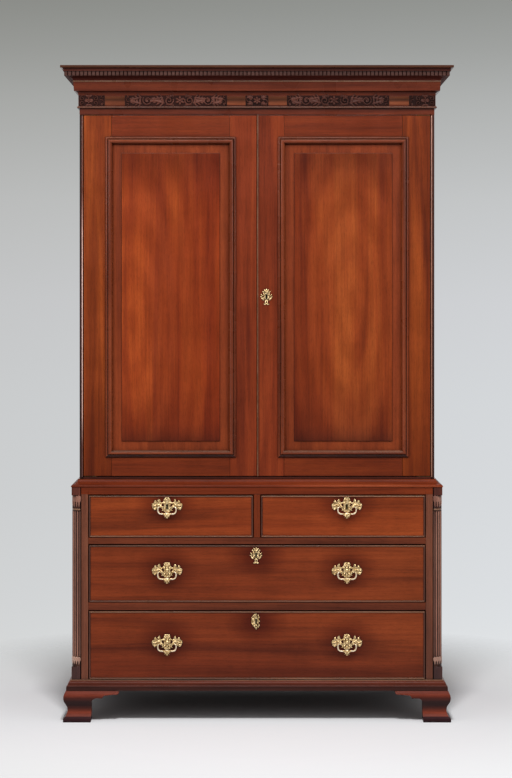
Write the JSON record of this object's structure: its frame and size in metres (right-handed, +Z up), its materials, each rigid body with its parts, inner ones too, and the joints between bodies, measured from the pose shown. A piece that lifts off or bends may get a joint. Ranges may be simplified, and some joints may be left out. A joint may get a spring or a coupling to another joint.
{
  "type": "linen press",
  "caption": "Tall mahogany linen press in two cases: sliding trays behind panelled doors under a dentilled cornice, drawers with swinging brass bails below, fluted corner columns, ogee feet.",
  "frame": {"origin": "on the floor, under the middle of the bounding box", "axes": "+X to the right as the front is looked at, the front faces -Y, +Z up"},
  "size_m": [1.317, 0.6154, 2.2],
  "materials": {
    "mahogany": "polished with shellac and wax",
    "figured_mahogany": "figured panel wood, polished with shellac and wax",
    "carved_mahogany": "carved and fluted, worn wax",
    "poplar": "planed and unfinished",
    "oak": "waxed",
    "brass": "cast, filed and worn bright"
  },
  "bodies": {
    "case": {"cornice": "mahogany", "upper_side_left": "mahogany", "upper_side_right": "mahogany", "upper_bottom_board": "mahogany", "upper_top_board": "poplar", "upper_backboards": "poplar", "waist_moulding": "mahogany", "base_side_left": "mahogany", "base_side_right": "mahogany", "corner_post_left": "mahogany", "corner_post_right": "mahogany", "quarter_column_left": "carved_mahogany", "quarter_column_right": "carved_mahogany", "base_bottom_board": "poplar", "lower_dustboard": "mahogany", "upper_dustboard": "mahogany", "base_top_board": "mahogany", "drawer_divider": "mahogany", "base_backboards": "poplar", "base_moulding": "mahogany", "front_foot_left": "mahogany", "front_foot_right": "mahogany", "rear_foot_left": "mahogany", "rear_foot_right": "mahogany", "left_lower_pivot_pin_plate": "brass", "left_upper_pivot_pin_plate": "brass", "right_lower_pivot_pin_plate": "brass", "right_upper_pivot_pin_plate": "brass"},
    "short_drawer_left": {"short_drawer_left": "mahogany", "short_drawer_left_plate": "brass"},
    "short_drawer_left_bail": {"short_drawer_left_bail": "brass"},
    "short_drawer_right": {"short_drawer_right": "mahogany", "short_drawer_right_plate": "brass"},
    "short_drawer_right_bail": {"short_drawer_right_bail": "brass"},
    "middle_drawer": {"middle_drawer": "mahogany", "middle_drawer_plate_left": "brass", "middle_drawer_plate_right": "brass", "middle_escutcheon": "brass"},
    "middle_drawer_bail_left": {"middle_drawer_bail_left": "brass"},
    "middle_drawer_bail_right": {"middle_drawer_bail_right": "brass"},
    "bottom_drawer": {"bottom_drawer": "mahogany", "bottom_drawer_plate_left": "brass", "bottom_drawer_plate_right": "brass", "bottom_escutcheon": "brass"},
    "bottom_drawer_bail_left": {"bottom_drawer_bail_left": "brass"},
    "bottom_drawer_bail_right": {"bottom_drawer_bail_right": "brass"},
    "linen_tray_lower": {"linen_tray_lower": "oak"},
    "linen_tray_middle": {"linen_tray_middle": "oak"},
    "linen_tray_upper": {"linen_tray_upper": "oak"},
    "left_door": {"left_door_frame": "mahogany", "left_door_panel": "figured_mahogany", "left_door_moulding": "mahogany", "left_lower_pivot_socket_plate": "brass", "left_upper_pivot_socket_plate": "brass"},
    "right_door": {"right_door_frame": "mahogany", "right_door_panel": "figured_mahogany", "right_door_moulding": "mahogany", "right_lower_pivot_socket_plate": "brass", "right_upper_pivot_socket_plate": "brass", "door_escutcheon": "brass"}
  },
  "joints": [
    {"name": "short_drawer_left_slide", "type": "slide", "parent": "case", "child": "short_drawer_left", "axis": [0, -1, 0], "range_m": [0, 0.4]},
    {"name": "short_drawer_left_bail_swing", "type": "hinge", "parent": "short_drawer_left", "child": "short_drawer_left_bail", "pos_m": [-0.302, -0.28555, 0.7205], "axis": [-1, 0, 0], "range_deg": [-12, 190]},
    {"name": "short_drawer_right_slide", "type": "slide", "parent": "case", "child": "short_drawer_right", "axis": [0, -1, 0], "range_m": [0, 0.4]},
    {"name": "short_drawer_right_bail_swing", "type": "hinge", "parent": "short_drawer_right", "child": "short_drawer_right_bail", "pos_m": [0.302, -0.28555, 0.7205], "axis": [-1, 0, 0], "range_deg": [-12, 190]},
    {"name": "middle_drawer_slide", "type": "slide", "parent": "case", "child": "middle_drawer", "axis": [0, -1, 0], "range_m": [0, 0.4]},
    {"name": "middle_drawer_bail_left_swing", "type": "hinge", "parent": "middle_drawer", "child": "middle_drawer_bail_left", "pos_m": [-0.302, -0.28555, 0.502], "axis": [-1, 0, 0], "range_deg": [-12, 190]},
    {"name": "middle_drawer_bail_right_swing", "type": "hinge", "parent": "middle_drawer", "child": "middle_drawer_bail_right", "pos_m": [0.302, -0.28555, 0.502], "axis": [-1, 0, 0], "range_deg": [-12, 190]},
    {"name": "bottom_drawer_slide", "type": "slide", "parent": "case", "child": "bottom_drawer", "axis": [0, -1, 0], "range_m": [0, 0.4]},
    {"name": "bottom_drawer_bail_left_swing", "type": "hinge", "parent": "bottom_drawer", "child": "bottom_drawer_bail_left", "pos_m": [-0.302, -0.28555, 0.2605], "axis": [-1, 0, 0], "range_deg": [-12, 190]},
    {"name": "bottom_drawer_bail_right_swing", "type": "hinge", "parent": "bottom_drawer", "child": "bottom_drawer_bail_right", "pos_m": [0.302, -0.28555, 0.2605], "axis": [-1, 0, 0], "range_deg": [-12, 190]},
    {"name": "linen_tray_lower_slide", "type": "slide", "parent": "case", "child": "linen_tray_lower", "axis": [0, -1, 0], "range_m": [0, 0.03]},
    {"name": "linen_tray_middle_slide", "type": "slide", "parent": "case", "child": "linen_tray_middle", "axis": [0, -1, 0], "range_m": [0, 0.03]},
    {"name": "linen_tray_upper_slide", "type": "slide", "parent": "case", "child": "linen_tray_upper", "axis": [0, -1, 0], "range_m": [0, 0.03]},
    {"name": "left_door_swing", "type": "hinge", "parent": "case", "child": "left_door", "pos_m": [-0.5773, -0.24275, 1.4285], "axis": [0, 0, -1], "range_deg": [0, 125]},
    {"name": "right_door_swing", "type": "hinge", "parent": "case", "child": "right_door", "pos_m": [0.5773, -0.24275, 1.4285], "axis": [0, 0, 1], "range_deg": [0, 125]}
  ]
}
